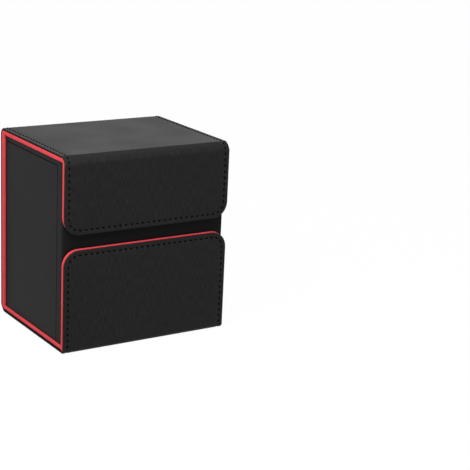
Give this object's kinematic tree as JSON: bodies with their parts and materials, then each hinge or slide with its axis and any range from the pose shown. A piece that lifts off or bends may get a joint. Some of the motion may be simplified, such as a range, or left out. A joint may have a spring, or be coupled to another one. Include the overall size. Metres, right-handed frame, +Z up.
{
  "type": "card storage box",
  "caption": "Upright card box in a black leather cover with red lining, a flip lid, two magnetic front flaps and a drawer below the card compartment.",
  "frame": {"origin": "middle of the footprint, on the surface that the box stands on", "axes": "+Z up, the front flaps face -Y, +X to the right for someone who looks at the front"},
  "size_m": [0.108, 0.087, 0.116],
  "materials": {
    "cover_leather": "black synthetic leather with a fine brushed grain, satin",
    "wrap_leather": "smooth black synthetic leather, satin",
    "lining": "red microfibre",
    "board": "grey board",
    "magnet": "nickel plate"
  },
  "bodies": {
    "box": {"cover_leather": "cover_leather", "bottom_board": "board", "bottom_lining": "lining", "back_board": "board", "back_lining": "lining", "top_back_fold": "cover_leather", "left_wall_board": "board", "right_wall_board": "board", "front_wall_board": "board", "back_wall_board": "board", "card_floor_board": "board", "card_box_wrap": "wrap_leather", "card_lining_floor": "lining", "card_lining_left": "lining", "card_lining_right": "lining", "card_lining_front": "lining", "card_lining_back": "lining", "wall_magnet_upper_left": "magnet", "wall_magnet_upper_right": "magnet", "wall_magnet_lower_left": "magnet", "wall_magnet_lower_right": "magnet"},
    "lid": {"lid_leather": "cover_leather", "lid_board": "board", "lid_lining": "lining", "top_front_fold": "cover_leather"},
    "upper_flap": {"upper_flap_leather": "cover_leather", "upper_flap_board": "board", "upper_flap_lining": "lining", "upper_flap_magnet_left": "magnet", "upper_flap_magnet_right": "magnet"},
    "drawer": {"drawer_floor_board": "board", "drawer_left_board": "board", "drawer_right_board": "board", "drawer_front_board": "board", "drawer_back_board": "board", "drawer_lining": "lining", "drawer_front_leather": "wrap_leather", "drawer_pull_tab": "wrap_leather", "bottom_front_fold": "cover_leather"},
    "lower_flap": {"lower_flap_leather": "cover_leather", "lower_flap_board": "board", "lower_flap_lining": "lining", "lower_flap_magnet_left": "magnet", "lower_flap_magnet_right": "magnet"}
  },
  "joints": [
    {"name": "lid_hinge", "type": "hinge", "parent": "box", "child": "lid", "pos_m": [0, 0.04286, 0.11536], "axis": [-1, 0, 0], "range_deg": [0, 225], "deforming": ["top_back_fold"]},
    {"name": "upper_flap_hinge", "type": "hinge", "parent": "lid", "child": "upper_flap", "pos_m": [0, -0.04256, 0.11506], "axis": [-1, 0, 0], "range_deg": [0, 90], "deforming": ["top_front_fold"]},
    {"name": "drawer_slide", "type": "slide", "parent": "box", "child": "drawer", "axis": [0, -1, 0], "range_m": [0, 0.06]},
    {"name": "lower_flap_hinge", "type": "hinge", "parent": "drawer", "child": "lower_flap", "pos_m": [0, -0.04311, 0.00039], "axis": [1, 0, 0], "range_deg": [0, 90], "deforming": ["bottom_front_fold"]}
  ]
}
